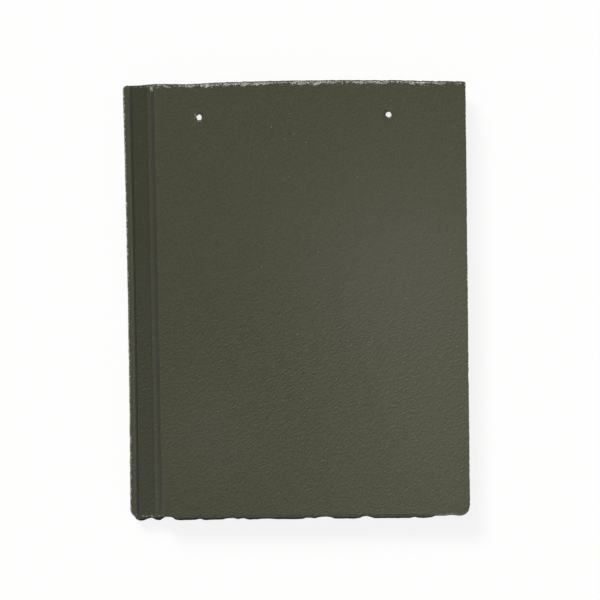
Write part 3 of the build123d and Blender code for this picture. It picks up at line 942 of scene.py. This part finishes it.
floor_mesh = bpy.data.meshes.new("floor")
half = FLOOR_SIZE / 2
floor_corners = [(-half, -half, 0), (half, -half, 0), (half, half, 0), (-half, half, 0)]
floor_mesh.from_pydata(floor_corners, [], [(0, 1, 2, 3)])
floor = bpy.data.objects.new("floor", floor_mesh)
bpy.context.scene.collection.objects.link(floor)
floor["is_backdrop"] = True

paper = bpy.data.materials.new("white_paper")
paper.use_nodes = True
paper_tree = paper.node_tree
paper_tree.nodes.clear()
ray = add(paper_tree, "ShaderNodeLightPath").outputs
seen = ray["Is Camera Ray"]
for other in ("Is Glossy Ray", "Is Transmission Ray"):
    seen = add(paper_tree, "ShaderNodeMath", {0: seen, 1: ray[other]}, operation="MAXIMUM").outputs[0]
glowing = add(paper_tree, "ShaderNodeMath", {
    0: seen, 1: 1 - SHADOW_SHARE}, operation="MULTIPLY").outputs[0]
card = add(paper_tree, "ShaderNodeBsdfDiffuse", {"Color": linear(CARD)}).outputs[0]
glow = add(paper_tree, "ShaderNodeEmission", {"Color": linear(WHITE), "Strength": 1.0}).outputs[0]
white = add(paper_tree, "ShaderNodeMixShader", {0: glowing, 1: card, 2: glow}).outputs[0]
below = add(paper_tree, "ShaderNodeNewGeometry").outputs["Backfacing"]
clear = add(paper_tree, "ShaderNodeBsdfTransparent").outputs[0]
paper_surface = add(paper_tree, "ShaderNodeMixShader", {0: below, 1: white, 2: clear}).outputs[0]
add(paper_tree, "ShaderNodeOutputMaterial", {"Surface": paper_surface})
floor_mesh.materials.append(paper)
print(f"floor {FLOOR_SIZE} m wide")

# %% [markdown]
# The main light is a wide soft sun from beyond the head and from the left, which rakes over the grain
# without fading along the tile. A long narrow lamp near the camera gives the coat its sheen, most of it
# right of the middle, and a small near lamp adds a soft patch there. A sun from below shows the
# underside, and so the floor casts no shadow.

# %% Lamps
SUN_FROM, SUN_ANGLE, SUN_POWER = (-0.46, 0.95, 0.95), math.radians(22), 3.0
SHEEN_AT, SHEEN_SIZE, SHEEN_POWER, SHEEN_COLOUR = (0.21, -0.3, 2.6), (0.15, 0.8), 4.8, "#FDFFE8"
GLINT_AT, GLINT_SIZE, GLINT_POWER, GLINT_COLOUR = (0.086, 0.006, 0.55), 0.13, 0.065, "#ECECFF"
UNDER_FILL = 1.0

sun_data = bpy.data.lights.new("head_sun", "SUN")
sun_data.energy, sun_data.angle = SUN_POWER, SUN_ANGLE
sun = bpy.data.objects.new("head_sun", sun_data)
away = np.array(SUN_FROM) / np.linalg.norm(SUN_FROM)
sun.rotation_euler = (math.acos(away[2]), 0, math.atan2(away[0], -away[1]))
sheen_data = bpy.data.lights.new("soft_sheen", "AREA")
sheen_data.energy, sheen_data.shape = SHEEN_POWER, "RECTANGLE"
sheen_data.size, sheen_data.size_y = SHEEN_SIZE
sheen_data.color = linear(SHEEN_COLOUR)[:3]
sheen = bpy.data.objects.new("soft_sheen", sheen_data)
sheen.location = SHEEN_AT
glint_data = bpy.data.lights.new("near_glint", "AREA")
glint_data.energy, glint_data.size = GLINT_POWER, GLINT_SIZE
glint_data.color = linear(GLINT_COLOUR)[:3]
glint = bpy.data.objects.new("near_glint", glint_data)
glint.location = GLINT_AT
glint.visible_camera = False
fill_data = bpy.data.lights.new("under_fill", "SUN")
fill_data.energy = UNDER_FILL
fill = bpy.data.objects.new("under_fill", fill_data)
fill.rotation_euler = (math.pi, 0, 0)
floor.visible_shadow = False
for lamp in (sun, sheen, glint, fill):
    bpy.context.scene.collection.objects.link(lamp)
print(f"sun {SUN_POWER}, sheen {SHEEN_POWER} W, glint {GLINT_POWER} W")

# %% [markdown]
# The world is an even white. Together with the lamps it lights a level surface so that a colour renders
# about as it is written.

# %% World
WORLD_LEVEL = 0.32

world = bpy.data.worlds.new("studio")
world.use_nodes = True
world.node_tree.nodes["Background"].inputs["Color"].default_value = linear(WHITE)
world.node_tree.nodes["Background"].inputs["Strength"].default_value = WORLD_LEVEL
bpy.context.scene.world = world
bpy.context.scene.view_settings.view_transform = "Standard"
print(f"world {WORLD_LEVEL}")

# %% [markdown]
# The camera stands high over the face, a little towards the head and to the right, and looks at the
# tile's middle. Its lens follows from the number of pixels that a millimetre of the face takes up.

# %% Camera
EYE = np.array([90.0, 122.8, 2400.0])
AIM = np.array([3.76, 2.83, face_z])
ROLL = math.radians(0.813)
PIXELS_PER_MM, FRAME_PIXELS, SENSOR = 1.0426, 600, 36.0

forward = (AIM - EYE) / np.linalg.norm(AIM - EYE)
sideways = np.cross(forward, (math.sin(ROLL), math.cos(ROLL), 0))
sideways /= np.linalg.norm(sideways)
upward = np.cross(sideways, forward)
matrix = np.eye(4)
matrix[:3, :4] = np.stack([sideways, upward, -forward, EYE * MM], axis=1)
camera_data = bpy.data.cameras.new("camera")
camera_data.sensor_width = SENSOR
camera_data.lens = PIXELS_PER_MM * (EYE[2] - face_z) * SENSOR / FRAME_PIXELS
camera = bpy.data.objects.new("camera", camera_data)
camera.matrix_world = matrix.T.tolist()
bpy.context.scene.collection.objects.link(camera)
bpy.context.scene.camera = camera
print(f"lens {camera_data.lens:.1f} mm")

# %% [markdown]
# ## Sizes
#
# The dressed tile is made to stay inside the CAD tile's box, and both boxes are printed.

# %% Print the boxes and finish
boxes = {"cad": cad_box, "visual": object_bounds()}
boxes = {name: [list(corner) for corner in box] for name, box in boxes.items()}
print(boxes)
